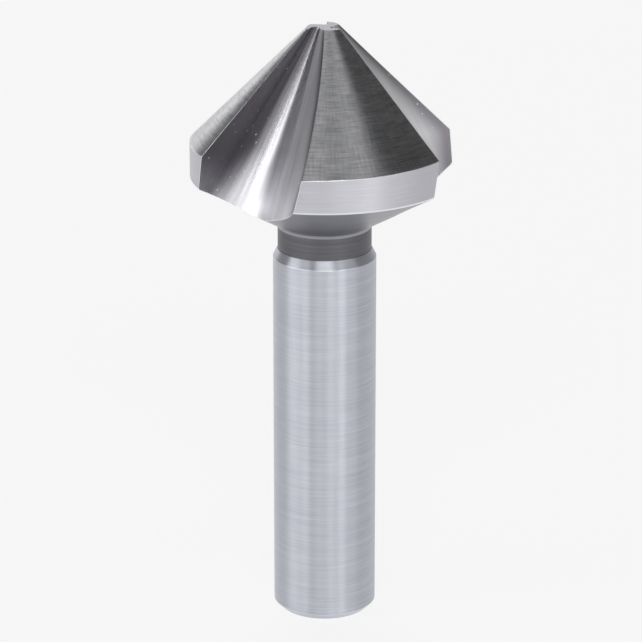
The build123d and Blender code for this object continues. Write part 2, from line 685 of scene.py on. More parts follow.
class ToolMesh:
    """Collects the points, faces, normals, grain and finishes of one closed mesh."""

    def __init__(self) -> None:
        """Starts with nothing."""
        self.points = np.zeros((0, 3))
        self.faces: list[list[int]] = []
        self.corners: list[Array] = []
        self.patch_of_face: list[int] = []
        self.finish_of_face: list[int] = []
        self.soft_patches: list[bool] = []

    def add(self, points: Array) -> Array:
        """Adds points and returns their numbers, in the points' own shape."""
        first = len(self.points)
        flat = points.reshape(-1, 3)
        self.points = np.concatenate([self.points, flat])
        return np.arange(first, first + len(flat)).reshape(points.shape[:-1])

    def line(self, start: int, points: Array, end: int) -> Array:
        """Adds points between two that are there already, and returns the numbers of the whole line."""
        return np.concatenate([[start], self.add(points), [end]])

    def fill(self, numbers: Array, points: Array) -> Array:
        """Adds the points whose number isn't known yet, marked -1, and returns all the numbers."""
        open_places = numbers < 0
        numbers = numbers.copy()
        numbers[open_places] = self.add(points[open_places])
        return numbers

    def patch(self, faces: Array, surface: Surface, finish: Finish, soft: bool = True) -> None:
        """Adds faces of one surface, wound so that they face out of the steel.

        Args:
            faces: point numbers, one face to a row.
            surface: gives normals and grain.
            finish: the steel's finish there.
            soft: whether the shading turns at the patch's sharp edges, over its row of one skin.
        """
        corners = self.points[faces]
        normals = surface.normal(corners)
        facing = np.cross(corners[:, 2] - corners[:, 0], corners[:, -1] - corners[:, 1])
        if (facing * normals[:, 0]).sum() < 0:
            faces, corners, normals = faces[:, ::-1], corners[:, ::-1], normals[:, ::-1]
        grain = surface.grain(corners)
        if surface.turn_length:
            first = grain[:, :1, 1]
            grain[..., 1] -= surface.turn_length * np.round((grain[..., 1] - first) / surface.turn_length)
        self.faces += faces.tolist()
        # the painted-light mask of each corner
        rim = surface.rim(corners)[..., None]
        self.corners.append(np.concatenate([normals, grain, rim], -1).reshape(-1, 6))
        self.patch_of_face += [len(self.soft_patches)] * len(faces)
        self.finish_of_face += [finish.value] * len(faces)
        self.soft_patches.append(soft)

    def grid(self, numbers: Array, surface: Surface, finish: Finish, soft: bool = True) -> None:
        """Adds the quads of a grid of point numbers; the other arguments are as in patch."""
        quads = np.stack([numbers[:-1, :-1], numbers[:-1, 1:], numbers[1:, 1:], numbers[1:, :-1]], -1)
        self.patch(quads.reshape(-1, 4), surface, finish, soft)

    def triangulate(
        self, outer: Array, inner: Array, middle: Array, surface: Surface, finish: Finish
    ) -> None:
        """Adds triangles between an outer loop and an inner one, seen along the tool's axis.

        Args:
            outer: point numbers round the outside.
            inner: point numbers round a hole, or none.
            middle: point numbers in between.
            surface: gives normals and grain.
            finish: the steel's finish there.
        """
        numbers = np.concatenate([outer, inner, middle])
        flat = self.points[numbers][:, :2]
        count, hole = len(outer), len(inner)
        edges = [(i, (i + 1) % count) for i in range(count)]
        edges += [(count + i, count + (i + 1) % hole) for i in range(hole)]
        _, _, found, origins, _, _ = delaunay_2d_cdt([tuple(p) for p in flat], edges, [], 0, TINY)
        index = np.array([origin[0] for origin in origins])
        triangles = index[np.array([face for face in found if len(face) == 3])]
        centres = flat[triangles].mean(1)
        keep = inside(centres, flat[:count])
        if hole:
            keep &= ~inside(centres, flat[count : count + hole])
        self.patch(numbers[triangles[keep]], surface, finish, soft=False)

    def soften(self) -> tuple[Array, Array]:
        """Turns the normals at sharp edges halfway to their neighbours' in the patches that have a skin.

        Returns:
            The normals and the edge mask for each corner of each face, 1 on those patches' sharp edges, where
            the material lays rubbed steel and a painted highlight.
        """
        sizes = np.array([len(face) for face in self.faces])
        numbers = np.concatenate([np.array(face) for face in self.faces])
        patches = np.repeat(self.patch_of_face, sizes)
        normals = np.concatenate(self.corners)[:, :3]
        _, first = np.unique(np.stack([numbers, patches]), axis=1, return_index=True)
        total = np.zeros_like(self.points)
        np.add.at(total, numbers[first], normals[first])
        mean = total[numbers] / np.maximum(np.linalg.norm(total[numbers], axis=1, keepdims=True), TINY)
        sharp = (mean * normals).sum(1) < math.cos(math.radians(SHARP_ANGLE))
        soft = np.array(self.soft_patches)[patches] & sharp
        return np.where(soft[:, None], mean, normals), soft.astype(float)

    def build(self, name: str, materials: list[Material]) -> bpy.types.Object:
        """Makes the object.

        Args:
            name: the piece's name.
            materials: one for each finish, in order.

        Returns:
            The object, in metres.
        """
        normals, wear_and_edge_highlight = self.soften()
        mesh = bpy.data.meshes.new(name)
        mesh.from_pydata((self.points * MM).tolist(), [], self.faces)
        for material in materials:
            mesh.materials.append(material)
        mesh.polygons.foreach_set("material_index", self.finish_of_face)
        mesh.polygons.foreach_set("use_smooth", [True] * len(self.faces))
        grain = mesh.uv_layers.new(name="grain")
        corners = np.concatenate(self.corners)
        grain.uv.foreach_set("vector", corners[:, 3:5].ravel().astype(np.float32))
        # the first lays rubbed steel and a painted highlight on the edges, the second is the flutes'
        # painted-light mask
        for attribute, values in (("wear_and_edge_highlight", wear_and_edge_highlight), ("rim", corners[:, 5])):
            layer = mesh.attributes.new(attribute, "FLOAT", "CORNER")
            layer.data.foreach_set("value", values.astype(np.float32))
        mesh.normals_split_custom_set(normals.tolist())
        mesh.update()
        piece = bpy.data.objects.new(name, mesh)
        bpy.context.scene.collection.objects.link(piece)
        return piece


# ---------------------------------------------------------------- shank and neck


@dataclass
class Shank:
    """The parallel shank, its shoulder and the relieved neck: one turned profile."""

    form: ToolForm
    radius: float = 6.0
    length: float = 43.7
    chamfer: float = 0.8
    shoulder: float = 1.1
    neck_foot_radius: float = 0.35
    segments: int = 192
    arc_steps: int = 8
    hub: float = 1 / 3  # radius of the triangles in the middle of the end face, as a share of its own
    chamfer_steps: int = 4
    shank_steps: int = 24
    neck_steps: int = 5  # and the shoulder's

    def corner(self, before: Array, corner: Array, after: Array, radius: float) -> tuple[Array, Array, Array]:
        """Rounds a corner of the profile.

        Args:
            before: the profile's point before the corner.
            corner: the corner.
            after: the profile's point after it.
            radius: the fillet's radius.

        Returns:
            Where the fillet starts, its centre, and where it ends.
        """
        back, on = unit(before - corner), unit(after - corner)
        half = math.acos(float(back @ on)) / 2
        run = radius / math.tan(half)
        return corner + back * run, corner + unit(back + on) * radius / math.sin(half), corner + on * run

    def ring(self, radius: float, height: float) -> Array:
        """Points evenly round the tool."""
        angles = np.linspace(0, math.tau, self.segments + 1)[:-1]
        return polar(radius, angles, height)

    def stretch(self, mesh: ToolMesh, rings: list[Array], surface: Revolved, finish: Finish) -> None:
        """Adds one stretch of the profile.

        Args:
            mesh: the mesh that it joins.
            rings: point numbers, ring by ring.
            surface: gives normals and grain.
            finish: the steel's finish there.
        """
        numbers = np.array(rings)
        mesh.grid(np.concatenate([numbers, numbers[:, :1]], 1), surface, finish)

    def straight(
        self, mesh: ToolMesh, start: Array, first: Array, last: Array, steps: int, finish: Finish
    ) -> Array:
        """Adds a straight stretch.

        Args:
            mesh: the mesh that it joins.
            start: point numbers of the ring that it starts from.
            first: that ring's radius and height.
            last: the radius and height at which it ends.
            steps: number of rows.
            finish: the steel's finish there.

        Returns:
            The point numbers of its last ring.
        """
        run = last - first
        stations = shares(steps, float(np.linalg.norm(run)))[1:]
        rings = [start, *(mesh.add(self.ring(*(first + run * share))) for share in stations)]
        out = unit(np.array([run[1], -run[0]]))
        self.stretch(mesh, rings, Revolved(tuple(out), mean_radius=max(first[0], last[0])), finish)
        return rings[-1]

    def rounded(
        self, mesh: ToolMesh, start: Array, fillet: tuple[Array, Array, Array], finish: Finish
    ) -> Array:
        """Adds a hollow fillet.

        Args:
            mesh: the mesh that it joins.
            start: point numbers of the ring that it starts from.
            fillet: where it starts, its centre and where it ends, each as radius and height.
            finish: the steel's finish there.

        Returns:
            The point numbers of its last ring.
        """
        first, centre, last = fillet
        radius = float(np.linalg.norm(first - centre))
        profile = arc_points(centre, radius, (first, last), np.linspace(0, 1, self.arc_steps + 1)[1:])
        rings = [start, *(mesh.add(self.ring(*point)) for point in profile)]
        surface = Revolved(arc_centre=tuple(centre), hollow=True, mean_radius=float(first[0]))
        self.stretch(mesh, rings, surface, finish)
        return rings[-1]

    def build(self, mesh: ToolMesh) -> Array:
        """Adds the shank and neck from the end face up, and returns the ring where the head's back begins."""
        form = self.form
        flat_radius = self.radius - self.chamfer
        centre = mesh.add(np.zeros((1, 3)))
        rim = mesh.add(self.ring(flat_radius, 0.0))
        inner = mesh.add(self.ring(flat_radius * self.hub, 0.0))
        skin = mesh.add(self.ring(flat_radius - SKIN, 0.0))
        face = Revolved((0.0, -1.0), mean_radius=flat_radius)
        fan = np.stack([np.broadcast_to(centre, inner.shape), inner, np.roll(inner, -1)], -1)
        mesh.patch(fan, face, Finish.SHANK)
        self.stretch(mesh, [inner, skin, rim], face, Finish.SHANK)
        shoulder = np.array([form.neck_radius, self.length + self.shoulder])
        edge = np.array([self.radius, self.length])
        head_foot = np.array([form.neck_radius, form.head_foot])
        head_rim = np.array([form.head_radius, form.margin_foot])
        neck_fillet = self.corner(edge, shoulder, head_foot, self.neck_foot_radius)
        head_fillet = self.corner(shoulder, head_foot, head_rim, form.head_foot_radius)
        lower = np.array([self.radius, self.chamfer])
        ring = self.straight(mesh, rim, np.array([flat_radius, 0.0]), lower, self.chamfer_steps, Finish.SHANK)
        ring = self.straight(mesh, ring, lower, edge, self.shank_steps, Finish.SHANK)
        ring = self.straight(mesh, ring, edge, neck_fillet[0], self.neck_steps, Finish.SHANK)
        ring = self.rounded(mesh, ring, neck_fillet, Finish.NECK)
        ring = self.straight(mesh, ring, neck_fillet[2], head_fillet[0], self.neck_steps, Finish.NECK)
        return self.rounded(mesh, ring, head_fillet, Finish.BACK)


# ---------------------------------------------------------------- head


@dataclass
class Sides:
    """Point numbers of the lines that one tooth and its flute share with their neighbours."""

    edge: Array
    corner_line: Array
    corner_break: Array
    heel: Array
    heel_line: Array
    heel_break: Array
    rake_exit: Array
    gully_exit: Array
    strip_exit: Array
    notch: Array


@dataclass
class Head:
    """The cutting head: three relieved lands and margins, three flutes, the nose and the back."""

    form: ToolForm
    along_steps: int = 64
    land_steps: int = 60
    margin_steps: int = 8
    exit_steps: int = 16
    gullet_steps: int = 30
    wall_steps: int = 8
    land_angle: tuple[float, float] = (-40.0, 40.0)
    heel_angle: tuple[float, float] = (-110.0, -20.0)
    land_arc: float = 1.05  # a land's rows are about this many times as long as their chords
    wall_taper: float = 0.1  # about the wall's width at the nose as a share of that at the back
    lattice_start: float = 0.5  # from the neck to the first points inside the back
    lattice_step: float = 0.55  # from each of them to the next outward
    lattice_turn: float = 2.5  # and round it, in degrees
    lattice_gap: float = 0.3  # how far they keep from the back's outline

    @property
    def across_steps(self) -> int:
        """Steps across the rake face and across the strip: margin, edge break and back of the head."""
        return self.margin_steps + 1 + self.exit_steps

    def rim(self) -> tuple[float, float]:
        """Radius and height of the lower side of the margin's edge break."""
        slant = math.hypot(1, self.form.back_slope)
        radius = self.form.head_radius - self.form.edge_break / slant
        return radius, float(self.form.back_height(radius))

    def on_rim(self, surface: Callable, turn: float, low: float, high: float) -> Array:
        """The one point of the rim that lies on another surface; arguments as in Land.at_height."""
        radius, height = self.rim()
        return meeting(
            lambda angle: turned(polar(radius, angle, height), turn), surface, np.zeros(1), low, high
        )

    def corner_height(self, land: Land, surface: Callable, low: float, high: float) -> float:
        """Height at which the line between a land and another surface reaches the margin."""

        def beyond(height: Array) -> Array:
            """How far the line lies outside the margin's radius."""
            points = land.at_height(height, surface, low, high)
            return radius_of(points) - self.form.head_radius

        return float(bisect(beyond, np.array([self.form.length - 1]), np.array([self.form.margin_foot]))[0])

    def outer_line(
        self, mesh: ToolMesh, corner: int, top: float, tooth: int, surface: Callable, low: float, high: float
    ) -> tuple[Array, Array]:
        """Lines down the margin and over its edge break, on the rake face or on the strip.

        Args:
            mesh: the mesh that they join.
            corner: point number at the margin's top.
            top: height of that point.
            tooth: the margin's tooth.
            surface: a function of points that is zero on the rake face or on the strip.
            low: angle from the tooth's corner at one end of the search, in degrees.
            high: the same at the other end.

        Returns:
            Point numbers of the margin's line and of the break's line, each from the top down.
        """
        bottom = self.form.margin_foot + self.form.edge_break
        heights = top + (bottom - top) * shares(self.margin_steps, top - bottom)[1:]
        margin = Margin(form=self.form, tooth=tooth)
        line = np.concatenate([[corner], mesh.add(margin.at_height(heights, surface, low, high))])
        rim = mesh.add(self.on_rim(surface, self.form.corner_azimuth(tooth), low, high))
        return line, np.concatenate([line[-1:], rim])

    def flute(self, mesh: ToolMesh, tooth: int) -> Sides:
        """Adds the flute in front of one tooth: rake face, gullet, wall and strip.

        Args:
            mesh: the mesh that it joins.
            tooth: the tooth whose edge the flute serves.

        Returns:
            The lines that it shares with the lands, the nose and the back.
        """
        form, path = self.form, FlutePath(self.form, tooth)
        land, following = Land(form, tooth), Land(form, tooth + 1)
        rake, strip = Rake(path), Strip(path)
        along = shares(self.along_steps, FLUTE_RUN) ** ROW_GROWTH
        rake_search, strip_search = (path.rake_gap, *self.land_angle), (path.strip_gap, *self.heel_angle)
        corner = self.corner_height(land, *rake_search)
        heel_corner = self.corner_height(following, *strip_search)
        nose = form.length
        edge = mesh.add(land.at_height(nose + (corner - nose) * along, *rake_search))
        heel = mesh.add(following.at_height(nose + (heel_corner - nose) * along, *strip_search))
        corner_line, corner_break = self.outer_line(mesh, edge[-1], corner, tooth, *rake_search)
        heel_line, heel_break = self.outer_line(mesh, heel[-1], heel_corner, tooth + 1, *strip_search)

        gullet_numbers, gullet_surface = self.gully(mesh, path, along, None)
        wall_numbers, wall_surface = self.gully(mesh, path, along, gullet_numbers[:, -1])
        mesh.grid(gullet_numbers, gullet_surface, Finish.FLUTE, soft=False)
        mesh.grid(wall_numbers, wall_surface, Finish.FLUTE)
        rake_foot, ridge = gullet_numbers[:, 0], wall_numbers[:, -1]

        ray = path.ray_profile(mesh.points[corner_break[-1]])
        profiles = ray + (path.rake_foot - ray) * np.linspace(0, 1, self.exit_steps + 1)[1:-1, None]
        stations = path.back_station_of(lambda s: path.on_ray(profiles, s), profiles[:, 0])
        rake_exit = mesh.line(corner_break[-1], path.on_ray(profiles, stations), rake_foot[-1])
        outer = np.concatenate([corner_line, corner_break[1:], rake_exit[1:]])
        lengths = np.linalg.norm(mesh.points[edge] - mesh.points[rake_foot], axis=1)
        across = shares(self.across_steps, lengths, last=False)
        start, end = mesh.points[edge[0]], mesh.points[rake_foot[0]]
        notch = mesh.line(edge[0], start + (end - start) * across[0][1:-1, None], rake_foot[0])
        self.between(mesh, rake, Finish.FLUTE, (edge, rake_foot, notch, outer), across, along)

        start, end = (strip.locate(mesh.points[line[-1]])[0] for line in (ridge, heel_break))
        angles = start + (end - start) * shares(self.exit_steps, STRIP_RUN, last=False)[1:-1]
        stations = path.back_station_of(lambda s: strip.point(pair(angles, s)), angles)
        strip_exit = mesh.line(ridge[-1], strip.point(pair(angles, stations)), heel_break[-1])
        outer = np.concatenate([strip_exit, heel_break[::-1][1:], heel_line[::-1][1:]])
        lengths = np.linalg.norm(mesh.points[ridge] - mesh.points[heel], axis=1)
        across = shares(self.across_steps, lengths)
        start, end = (strip.locate(mesh.points[line[0]])[0] for line in (ridge, heel))
        angles = start + (end - start) * across[0][1:-1]
        flat = pair(np.sin(angles), -np.cos(angles)) * path.heel_radius + path.strip_centre
        stations = -flat[:, 1] * path.sin_lean / path.cos_lean
        strip_notch = mesh.line(ridge[0], strip.point(pair(angles, stations)), heel[0])
        self.between(mesh, strip, Finish.STRIP, (ridge, heel, strip_notch, outer), across, along)

        gully_exit = np.concatenate([gullet_numbers[-1], wall_numbers[-1][1:]])
        gully_notch = np.concatenate([gullet_numbers[0], wall_numbers[0][1:]])
        notch = np.concatenate([notch, gully_notch[1:], strip_notch[1:]])
        cutting, heeled = (edge, corner_line, corner_break), (heel, heel_line, heel_break)
        return Sides(*cutting, *heeled, rake_exit, gully_exit, strip_exit, notch)

    def gully(
        self, mesh: ToolMesh, path: FlutePath, along: Array, start: Array | None
    ) -> tuple[Array, Gully]:
        """Adds the points of the gullet, or of the wall beside it.

        Args:
            mesh: the mesh that they join.
            path: the flute's path.
            along: the share at which each row stands.
            start: None for the gullet, or the numbers of the line that the wall starts from.

        Returns:
            The point numbers, rows by points, and the surface.
        """
        if start is None:
            surface = Gully(path, path.fillet_centre, path.gullet_radius)
            steps, ends = self.gullet_steps, (path.rake_foot, path.wall_foot)
            across = np.broadcast_to(np.linspace(0, 1, steps + 1), (len(along), steps + 1))
        else:
            surface = Gully(path, path.wall_centre, path.wall_radius)
            steps, ends = self.wall_steps, (path.wall_foot, np.zeros(2))
            taper = self.wall_taper + (1 - self.wall_taper) * along
            across = shares(steps, np.linalg.norm(ends[0]) * taper, first=False)
        profiles = arc_points(surface.centre, surface.radius, ends, across)
        first = path.nose_station(profiles)
        last = path.back_station_of(lambda s: path.on_ray(profiles, s), first)
        points = path.on_ray(profiles, first + (last - first) * along[:, None])
        numbers = np.full(points.shape[:2], -1)
        if start is not None:
            numbers[:, 0] = start
        return mesh.fill(numbers, points), surface

    def between(
        self,
        mesh: ToolMesh,
        surface: Surface,
        finish: Finish,
        sides: tuple[Array, Array, Array, Array],
        across: Array,
        along: Array,
    ) -> None:
        """Adds a grid between four lines of point numbers.

        Args:
            mesh: the mesh that it joins.
            surface: the surface that it lies on.
            finish: the steel's finish there.
            sides: first point of each row, last point of each row, first row and last row.
            across: for each row the shares at which its points stand.
            along: the share at which each row stands.
        """
        west, east, south, north = (surface.locate(mesh.points[side]) for side in sides)
        grid = surface.point(blend_rows(west, east, south, north, across, along))
        numbers = np.full(grid.shape[:2], -1)
        numbers[:, 0], numbers[:, -1], numbers[0], numbers[-1] = sides
        mesh.grid(mesh.fill(numbers, grid), surface, finish)

    def tooth(self, mesh: ToolMesh, tooth: int, before: Sides, after: Sides) -> tuple[Array, Array]:
        """Adds the land, margin and edge break of one tooth.

        Args:
            mesh: the mesh that they join.
            tooth: which tooth.
            before: lines of the flute behind its heel.
            after: lines of the flute in front of its edge.

        Returns:
            Point numbers of the land's arc on the nose and of the rim's arc, each from heel to edge.
        """
        form = self.form
        land, margin = Land(form, tooth), Margin(form=form, tooth=tooth)
        along = shares(self.along_steps, FLUTE_RUN) ** ROW_GROWTH
        lengths = np.linalg.norm(mesh.points[before.heel] - mesh.points[after.edge], axis=1)
        across = shares(self.land_steps, lengths * self.land_arc)
        start, end = (land.locate(mesh.points[line[0]]) for line in (before.heel, after.edge))
        arc = land.point(start + (end - start) * across[0][1:-1, None])
        nose = mesh.line(before.heel[0], arc, after.edge[0])

        def between_ends(first: Array, last: Array) -> Array:
            """Angles of an arc round the margin, between the last points of two lines."""
            start, end = (margin.locate(mesh.points[line[-1]])[0] for line in (first, last))
            return start + (end - start) * across[-1][1:-1]

        angles = between_ends(before.heel, after.edge)

        def above_land(height: Array) -> Array:
            """Height of the margin's cylinder over the land's cone."""
            points = margin.point(pair(angles, height))
            return height - (land.apex - land.locate(points)[..., 1])

        ends = (np.full_like(angles, height) for height in (form.margin_foot, form.length))
        heights = bisect(above_land, *ends)
        top = mesh.line(before.heel[-1], margin.point(pair(angles, heights)), after.edge[-1])
        self.between(mesh, land, Finish.LAND, (before.heel, after.edge, nose, top), across, along)

        lines = (before.heel_line, after.corner_line)
        angles = between_ends(*lines)
        arc = margin.point(pair(angles, form.margin_foot + form.edge_break))
        foot = mesh.line(lines[0][-1], arc, lines[1][-1])
        down = shares(self.margin_steps, form.margin_width)
        rows = np.broadcast_to(across[-1], (len(down), self.land_steps + 1))
        self.between(mesh, margin, Finish.MARGIN, (*lines, top, foot), rows, down)

        radius, height = self.rim()
        lines = (before.heel_break, after.corner_break)
        arc = turned(polar(radius, between_ends(*lines), height), form.corner_azimuth(tooth))
        rim = mesh.line(lines[0][-1], arc, lines[1][-1])
        slope = np.array([1.0, form.back_slope])
        bevel = unit(unit(np.array([slope[1], -slope[0]])) + [1.0, 0.0])
        surface = Revolved(tuple(bevel), mean_radius=form.head_radius)
        mesh.grid(np.stack([foot, rim]), surface, Finish.MARGIN)
        return nose, rim

    def build(self, mesh: ToolMesh, neck_ring: Array) -> None:
        """Adds the head above the neck.

        Args:
            mesh: the mesh that it joins.
            neck_ring: point numbers of the ring where the head's back begins.
        """
        form = self.form
        flutes = [self.flute(mesh, tooth) for tooth in range(form.teeth)]
        nose_loop, back_loop = [], []
        for tooth in range(form.teeth):
            nose, rim = self.tooth(mesh, tooth, flutes[tooth - 1], flutes[tooth])
            lines = flutes[tooth]
            nose_loop += [nose[:-1], lines.notch[:-1]]
            back_loop += [rim[:-1], lines.rake_exit[:-1], lines.gully_exit[:-1], lines.strip_exit[:-1]]
        nose_numbers, back_numbers = np.concatenate(nose_loop), np.concatenate(back_loop)
        empty = np.zeros(0, int)
        mesh.triangulate(nose_numbers, empty, empty, NoseFace(), Finish.NOSE)

        ring_radius = float(np.hypot(*mesh.points[neck_ring[0], :2]))
        radii = np.arange(ring_radius + self.lattice_start, form.head_radius, self.lattice_step)
        angles = np.radians(np.arange(0, 360, self.lattice_turn))
        lattice = polar(radii[:, None], angles, form.back_height(radii)[:, None]).reshape(-1, 3)
        outline = mesh.points[back_numbers]
        gaps = np.linalg.norm(lattice[:, None, :2] - outline[None, :, :2], axis=-1).min(1)
        kept = lattice[inside(lattice[:, :2], outline[:, :2]) & (gaps > self.lattice_gap)]
        slant = unit(np.array([form.back_slope, -1.0]))
        surface = Revolved(tuple(slant), mean_radius=form.mean_radius)
        mesh.triangulate(back_numbers, neck_ring, mesh.add(kept), surface, Finish.BACK)


# ---------------------------------------------------------------- finishes


def linear(colour: str) -> tuple[float, float, float, float]:
    """Linear RGBA from an sRGB hex colour."""
    values = [int(colour[i : i + 2], 16) / 255 for i in (1, 3, 5)]
    return *((v / 12.92 if v <= 0.04045 else ((v + 0.055) / 1.055) ** 2.4) for v in values), 1.0


def node(tree: NodeTree, kind: str, settings: dict | None = None, links: dict | None = None) -> Node:
    """Adds a node.

    Args:
        tree: the tree that it joins.
        kind: its type.
        settings: property names and socket names or numbers with their values.
        links: its input sockets with what feeds them: an output socket, or a node for its first one.

    Returns:
        The node.
    """
    new = tree.nodes.new(kind)
    for key, value in (settings or {}).items():
        if isinstance(key, str) and key not in new.inputs:
            setattr(new, key, value)
        else:
            new.inputs[key].default_value = value
    for key, source in (links or {}).items():
        socket = source if isinstance(source, NodeSocket) else source.outputs[0]
        tree.links.new(socket, new.inputs[key])
    return new


def ramp(
    source: tuple[float, float], target: tuple[float, float] = (0.0, 1.0), smooth: bool = False
) -> dict[str, str | float]:
    """Settings of a map from one range of values to another, held at its ends."""
    kind = {"interpolation_type": "SMOOTHSTEP"} if smooth else {}
    return kind | dict(zip(("From Min", "From Max", "To Min", "To Max"), source + target))


@dataclass(frozen=True)
class SteelFinish:
    """High-speed steel with the lines that its last turning or grinding left.

    Colours are sRGB hex. Pitches, lengths and depths are in millimetres.
    """

    name: str
    dark: str  # colour in the furrows of the lines
    light: str  # colour on their crests
    roughness: float
    anisotropy: float
    line_pitch: float  # across the lines
    line_length: float  # along them
    line_depth: float
    mottle: float = 3.0  # size of the faint clouds
    cross_pitch: float = 0.0  # pitch of the fainter lines that run the other way, 0 for none
    contrast: float = 0.25  # half the range of pattern that runs from dark to light; less is harder
    sway: float = 0.0  # how far a line leans the surface along itself, in radians
    side: str = ""  # painted shade colour, where the painted-light mask is low, or none
    painted_shade_fade: tuple[float, float] = (0.1, 0.6)  # the mask's values between which that painted shade gives way
    rim_roughness: float = 0.0  # added to the roughness where the painted-light mask is highest

    def lines(self, tree: NodeTree, grain: Node, across: float, along: float) -> Node:
        """Noise drawn out along the grinding lines.

        Args:
            tree: the tree that it joins.
            grain: the node that gives millimetres across and along the lines.
            across: pitch of the lines in millimetres.
            along: their length in millimetres.

        Returns:
            The noise node.
        """
        scale = (1 / across, 1 / along, 1.0)
        stretched = node(tree, "ShaderNodeMapping", {"Scale": scale}, {"Vector": grain})
        return node(tree, "ShaderNodeTexNoise", {"Scale": 1.0, "Detail": 2.0}, {"Vector": stretched})

    def pattern(self, tree: NodeTree, marks: list[tuple[Node, float]]) -> Node:
        """Sums weighted noises and spreads the sum over 0 to 1.

        Args:
            tree: the tree that it joins.
            marks: noise nodes with their weights.

        Returns:
            The node that gives the pattern.
        """
        total = None
        for mark, weight in marks:
            links = {0: mark} if total is None else {0: mark, 2: total}
            total = node(tree, "ShaderNodeMath", {"operation": "MULTIPLY_ADD", 1: weight, 2: 0.0}, links)
        middle = sum(weight for _, weight in marks) / 2
        spread = ramp((middle - self.contrast, middle + self.contrast))
        return node(tree, "ShaderNodeMapRange", spread, {"Value": total})

    def swayed(self, tree: NodeTree, lines: Node, bump: Node, tangent: Node) -> Node:
        """Leans the bumped normal along the lines, one way or the other from line to line.

        Args:
            tree: the tree that it joins.
            lines: the lines' noise.
            bump: the node that gives the bumped normal.
            tangent: the node that gives the direction across the lines.

        Returns:
            The node that gives the new normal.
        """
        along = node(tree, "ShaderNodeVectorMath", {"operation": "CROSS_PRODUCT"}, {0: bump, 1: tangent})
        lean = node(tree, "ShaderNodeMapRange", ramp(SWAY_RANGE, (-self.sway, self.sway)), {"Value": lines})
        lent = node(tree, "ShaderNodeVectorMath", {"operation": "SCALE"}, {0: along, "Scale": lean})
        leaning = node(tree, "ShaderNodeVectorMath", {"operation": "ADD"}, {0: bump, 1: lent})
        return node(tree, "ShaderNodeVectorMath", {"operation": "NORMALIZE"}, {0: leaning})

    def material(self) -> Material:
        """Makes the finish's material."""
        material = bpy.data.materials.new(self.name)
        material.use_nodes = True
        tree = material.node_tree
        tree.nodes.clear()
        grain = node(tree, "ShaderNodeUVMap", {"uv_map": "grain"})
        place = node(tree, "ShaderNodeTexCoord").outputs["Object"]
        # rim: the painted-light mask; wear: the edges' rubbed steel and painted highlight
        rim, wear_and_edge_highlight = (
            node(tree, "ShaderNodeAttribute", {"attribute_name": name}).outputs["Fac"]
            for name in ("rim", "wear_and_edge_highlight")
        )
        lines = self.lines(tree, grain, self.line_pitch, self.line_length)
        bands = self.lines(tree, grain, self.line_pitch * BAND_WIDTH, self.line_length * BAND_LENGTH)
        settings = {"Scale": 1 / (self.mottle * MM), "Detail": 3.0}
        mottle = node(tree, "ShaderNodeTexNoise", settings, {"Vector": place})
        marks = [(lines, LINE_SHARE), (bands, BAND_SHARE), (mottle, MOTTLE_SHARE)]
        if self.cross_pitch:
            cross = self.lines(tree, grain, self.cross_pitch * CROSS_LENGTH, self.cross_pitch)
            marks.append((cross, CROSS_SHARE))
        pattern = self.pattern(tree, marks)
        ends = {"data_type": "RGBA", 6: linear(self.dark), 7: linear(self.light)}
        colour = node(tree, "ShaderNodeMix", ends, {0: pattern}).outputs[2]
        bright = {"data_type": "RGBA", 7: linear(RUBBED_STEEL_AND_HIGHLIGHT)}
        # Painted shade: the side colour takes over where the painted-light mask is low.
        if self.side:
            fade = node(tree, "ShaderNodeMapRange", ramp(self.painted_shade_fade, smooth=True), {"Value": rim})
            painted_shade_mix = {"data_type": "RGBA", 6: linear(self.side)}
            colour = node(tree, "ShaderNodeMix", painted_shade_mix, {0: fade, 7: colour}).outputs[2]
            # Specks: painted glints of burrs, in bare bright steel.
            noise = node(tree, "ShaderNodeTexNoise", {"Scale": 1 / (SPECK_SIZE * MM)}, {"Vector": place})
            start = ramp((SPECK_START, SPECK_START + SPECK_FADE))
            burrs_and_glints = node(tree, "ShaderNodeMapRange", start, {"Value": noise})
            colour = node(tree, "ShaderNodeMix", bright, {0: burrs_and_glints, 6: colour}).outputs[2]
        # Sharp edges: rubbed steel and a painted highlight line.
        colour = node(tree, "ShaderNodeMix", bright, {0: wear_and_edge_highlight, 6: colour}).outputs[2]
        swing = (self.roughness * (1 - ROUGHNESS_SWING), self.roughness * (1 + ROUGHNESS_SWING))
        rough = node(tree, "ShaderNodeMapRange", ramp(BAND_RANGE, swing), {"Value": bands})
        if self.rim_roughness:
            coarse = ramp(ROUGH_RIM_RANGE, (0.0, self.rim_roughness))
            more = node(tree, "ShaderNodeMapRange", coarse, {"Value": rim})
            rough = node(tree, "ShaderNodeMath", {"operation": "ADD"}, {0: rough, 1: more})
        depth = {"Strength": 1.0, "Distance": self.line_depth * MM}
        bump = node(tree, "ShaderNodeBump", depth, {"Height": lines})
        tangent = node(tree, "ShaderNodeTangent", {"direction_type": "UV_MAP", "uv_map": "grain"})
        normal = self.swayed(tree, lines, bump, tangent) if self.sway else bump
        settings = {"Metallic": 1.0, "Anisotropic": self.anisotropy}
        links = {"Base Color": colour, "Roughness": rough, "Normal": normal, "Tangent": tangent}
        steel = node(tree, "ShaderNodeBsdfPrincipled", settings, links)
        node(tree, "ShaderNodeOutputMaterial", links={"Surface": steel})
        return material
